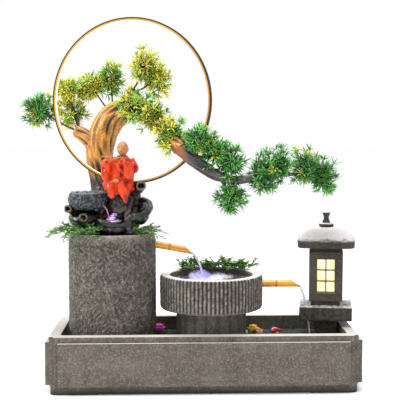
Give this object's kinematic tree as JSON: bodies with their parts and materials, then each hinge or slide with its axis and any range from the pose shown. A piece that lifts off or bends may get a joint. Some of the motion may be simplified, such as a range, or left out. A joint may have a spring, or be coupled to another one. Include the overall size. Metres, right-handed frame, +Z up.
{
  "type": "tabletop water fountain",
  "caption": "Tabletop fountain: stone-look trough with a planter column, ribbed misting basin, bamboo spouts, lit lantern, ring lamp, bonsai and a seated figure.",
  "frame": {"origin": "centre of the pond tray's underside", "axes": "+X to the right along the tray, +Y to the back, +Z up"},
  "size_m": [0.6755, 0.2396, 0.7095],
  "materials": {
    "stone": "chiselled, matt, warm grey-brown with pale upper edges",
    "deck_resin": "matt dark resin",
    "rock_resin": "dark resin with brown dry-brushed edges, satin gloss",
    "bowl_resin": "blue-grey pitted resin",
    "driftwood": "golden brown driftwood with black streaks, satin",
    "dark_branch": "near-black purple-brown, satin",
    "leaves": "soft satin leaves from deep green to yellow-green",
    "small_plants": "satin green sprigs",
    "bamboo": "golden yellow lacquered cane",
    "ring_metal": "satin black with an amber inner edge",
    "ring_light": "frosted diffuser, lit",
    "robe_glaze": "glossy orange-red glaze",
    "skin_glaze": "satin tan glaze",
    "flute_wood": "reddish brown, satin",
    "lantern_frame": "dark bronze paint",
    "lantern_pane": "frosted warm white, lit from inside",
    "lamp_plastic": "milky white",
    "pump_black": "matt black",
    "pump_blue": "matt blue",
    "steel": "ground",
    "clear_hose": "cloudy soft vinyl",
    "seal_rubber": "matt black",
    "ceramic_disc": "smooth white",
    "mist_light": "violet lights",
    "lotus_pink": "soft pink foam petals",
    "lotus_yellow": "soft yellow foam petals",
    "fish_paint": "glossy orange and white"
  },
  "bodies": {
    "root": {"pond_tray": "stone", "cable_gland": "pump_black", "gland_nut": "pump_black", "planter_column": "stone", "column_deck": "deck_resin", "pump_housing": "pump_black", "pump_cover": "pump_black", "pump_shaft": "steel", "pump_suction_cups": "seal_rubber", "riser_hose": "clear_hose", "hose_tee": "pump_black", "spout_hose": "clear_hose", "upper_spout": "bamboo", "lower_spout": "bamboo", "spout_seals": "seal_rubber", "basin_bowl": "stone", "basin_pedestal": "stone", "mist_body": "lamp_plastic", "mist_disc": "ceramic_disc", "mist_clamp_ring": "steel", "mist_lights": "mist_light", "rockery_base": "rock_resin", "spill_bowl": "bowl_resin", "rock_log_ends": "rock_resin", "rock_shelf": "rock_resin", "front_pool": "rock_resin", "ring_channel": "ring_metal", "ring_light_strip": "ring_light", "ring_socket": "ring_metal", "bonsai_trunk": "driftwood", "bonsai_branch": "dark_branch", "foliage_left_outer": "leaves", "foliage_left_inner": "leaves", "foliage_middle": "leaves", "foliage_top": "leaves", "foliage_bend": "leaves", "foliage_crossing": "leaves", "foliage_centre": "leaves", "foliage_right": "leaves", "foliage_tip": "leaves", "monk_robe": "robe_glaze", "monk_head": "skin_glaze", "monk_flute": "flute_wood", "monk_hands": "skin_glaze", "moss_left": "small_plants", "moss_right": "small_plants", "basin_plant": "small_plants", "lantern_pedestal": "stone", "lantern_slab": "stone", "lantern_body": "stone", "lantern_grilles": "lantern_frame", "lantern_panes": "lantern_pane", "lantern_light": "lamp_plastic", "pond_floats": "fish_paint"},
    "impeller": {"pump_impeller": "pump_blue"},
    "flow_dial": {"pump_flow_dial": "pump_blue"},
    "roof": {"lantern_roof": "stone", "lantern_finial": "stone"},
    "pink_lotus": {"lotus_pink": "lotus_pink"},
    "yellow_lotus": {"lotus_yellow": "lotus_yellow"}
  },
  "joints": [
    {"name": "impeller_spin", "type": "hinge", "parent": "root", "child": "impeller", "pos_m": [-0.198, -0.04, 0.044], "axis": [0, 1, 0], "continuous": true},
    {"name": "flow_dial_turn", "type": "hinge", "parent": "root", "child": "flow_dial", "pos_m": [-0.163, -0.02, 0.059], "axis": [1, 0, 0], "range_deg": [0, 90]},
    {"name": "roof_lift", "type": "slide", "parent": "root", "child": "roof", "axis": [0, 0, 1], "range_m": [0, 0.06]},
    {"name": "pink_lotus_turn", "type": "hinge", "parent": "root", "child": "pink_lotus", "pos_m": [-0.089, 0.05, 0.085], "axis": [0, 0, 1], "continuous": true},
    {"name": "yellow_lotus_turn", "type": "hinge", "parent": "root", "child": "yellow_lotus", "pos_m": [0.103, 0.046, 0.085], "axis": [0, 0, 1], "continuous": true}
  ]
}
